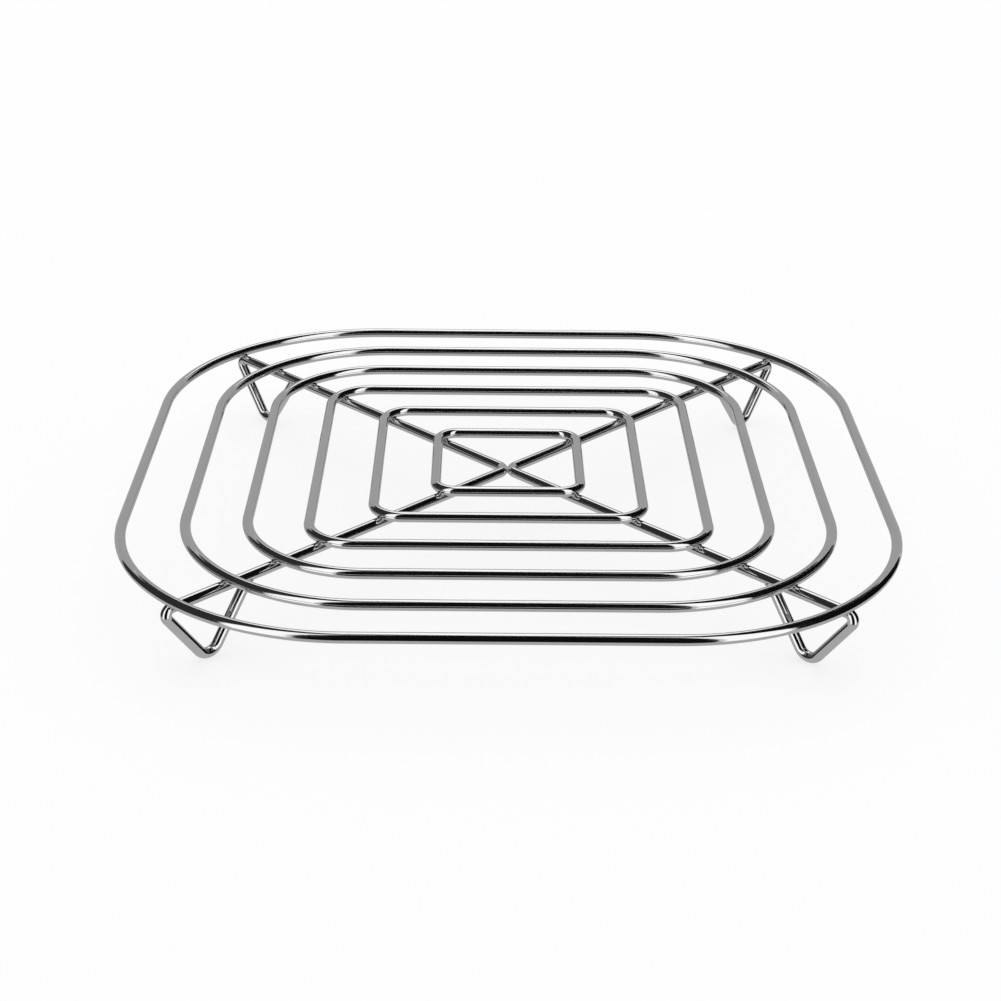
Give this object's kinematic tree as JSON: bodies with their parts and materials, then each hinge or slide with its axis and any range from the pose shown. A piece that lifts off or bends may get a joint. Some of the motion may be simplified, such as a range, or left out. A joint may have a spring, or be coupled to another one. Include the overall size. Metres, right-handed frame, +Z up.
{
  "type": "air fryer grill rack",
  "caption": "Low square wire rack of nested rounded-square rings welded on two bent support wires whose ends are V-shaped feet; lifts food off an air fryer basket's floor.",
  "frame": {"origin": "on the floor that the feet stand on, under the middle of the rack", "axes": "+Z up; X and Y along the straight sides of the rings, with the supports' arms at 45 degrees to them"},
  "size_m": [0.203, 0.203, 0.0216],
  "materials": {
    "polished_wire": "bright polished stainless steel wire"
  },
  "bodies": {
    "root": {"outer_ring": "polished_wire", "second_ring": "polished_wire", "third_ring": "polished_wire", "fourth_ring": "polished_wire", "fifth_ring": "polished_wire", "inner_ring": "polished_wire", "left_support": "polished_wire", "right_support": "polished_wire"}
  },
  "joints": []
}
